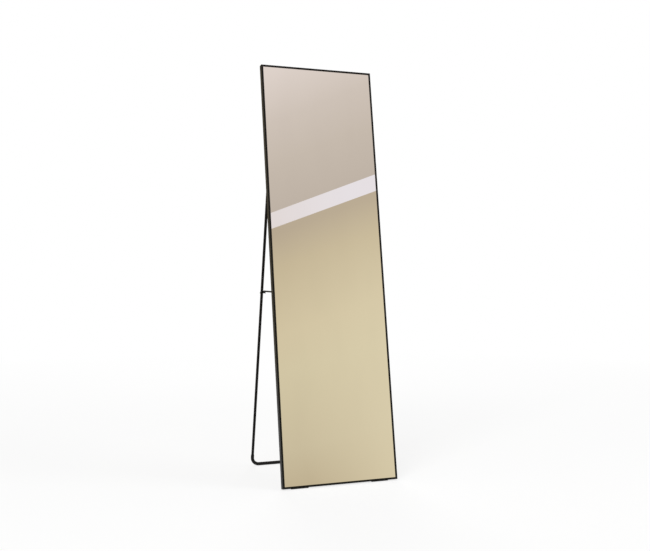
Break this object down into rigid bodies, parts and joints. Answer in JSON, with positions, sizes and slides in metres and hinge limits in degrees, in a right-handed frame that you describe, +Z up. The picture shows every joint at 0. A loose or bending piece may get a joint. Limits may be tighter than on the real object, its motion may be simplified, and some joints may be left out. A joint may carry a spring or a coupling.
{
  "type": "leaning floor mirror",
  "caption": "Full-length rectangular floor mirror in a thin black metal frame, leaning back on a folding U-shaped tube stand held open by a hooked stay on each side.",
  "frame": {"origin": "on the floor, at the middle of the standing object's footprint", "axes": "+X across the mirror to the right as seen from in front, +Y backwards from the mirror to the stand, +Z up"},
  "size_m": [0.4, 0.3915, 1.386],
  "materials": {
    "frame_coat": "black powder coat on extruded aluminium, satin",
    "mirror_glass": "silvered float glass",
    "safety_film": "woven-backed adhesive film",
    "foam_sheet": "thin packing foam",
    "back_board": "brown hardboard, fine pressed texture",
    "corner_key": "cast, plain",
    "plated_steel": "bright zinc plate",
    "black_steel": "black oxide steel",
    "stand_coat": "black powder coat on steel, satin",
    "nylon": "natural nylon",
    "tube_plug": "black moulded plastic",
    "sleeve_rubber": "matt black rubber",
    "pad_rubber": "matt black rubber"
  },
  "bodies": {
    "mirror": {"left_rail": "frame_coat", "right_rail": "frame_coat", "top_rail": "frame_coat", "bottom_rail": "frame_coat", "mirror_glass": "mirror_glass", "safety_film": "safety_film", "foam_sheet": "foam_sheet", "back_board": "back_board", "corner_key_bottom_left": "corner_key", "corner_key_bottom_right": "corner_key", "corner_key_top_left": "corner_key", "corner_key_top_right": "corner_key", "corner_grub_screws": "plated_steel", "left_hinge_bracket": "stand_coat", "right_hinge_bracket": "stand_coat", "left_hinge_pin": "black_steel", "right_hinge_pin": "black_steel", "hinge_washers": "nylon", "bracket_screws": "black_steel", "left_stay_pivot": "black_steel", "right_stay_pivot": "black_steel", "left_floor_pad": "pad_rubber", "right_floor_pad": "pad_rubber", "left_wall_hanger": "plated_steel", "right_wall_hanger": "plated_steel", "hanger_screws": "plated_steel"},
    "stand": {"stand_tube": "stand_coat", "anti_slip_sleeve": "sleeve_rubber", "left_tube_plug": "tube_plug", "right_tube_plug": "tube_plug", "left_hook_stud": "black_steel", "right_hook_stud": "black_steel"},
    "left_stay": {"left_stay": "stand_coat"},
    "right_stay": {"right_stay": "stand_coat"}
  },
  "joints": [
    {"name": "stand_hinge", "type": "hinge", "parent": "mirror", "child": "stand", "pos_m": [0, -0.00284, 1.02638], "axis": [-1, 0, 0], "range_deg": [0, 19.9]},
    {"name": "left_stay_hinge", "type": "hinge", "parent": "mirror", "child": "left_stay", "pos_m": [-0.1755, -0.08169, 0.62208], "axis": [1, 0, 0], "range_deg": [0, 80.8]},
    {"name": "right_stay_hinge", "type": "hinge", "parent": "mirror", "child": "right_stay", "pos_m": [0.1755, -0.08169, 0.62208], "axis": [1, 0, 0], "range_deg": [0, 80.8]}
  ],
  "couplings": [
    {"joint": "left_stay_hinge", "follows": "stand_hinge", "ratio": 4.0603},
    {"joint": "right_stay_hinge", "follows": "stand_hinge", "ratio": 4.0603}
  ]
}
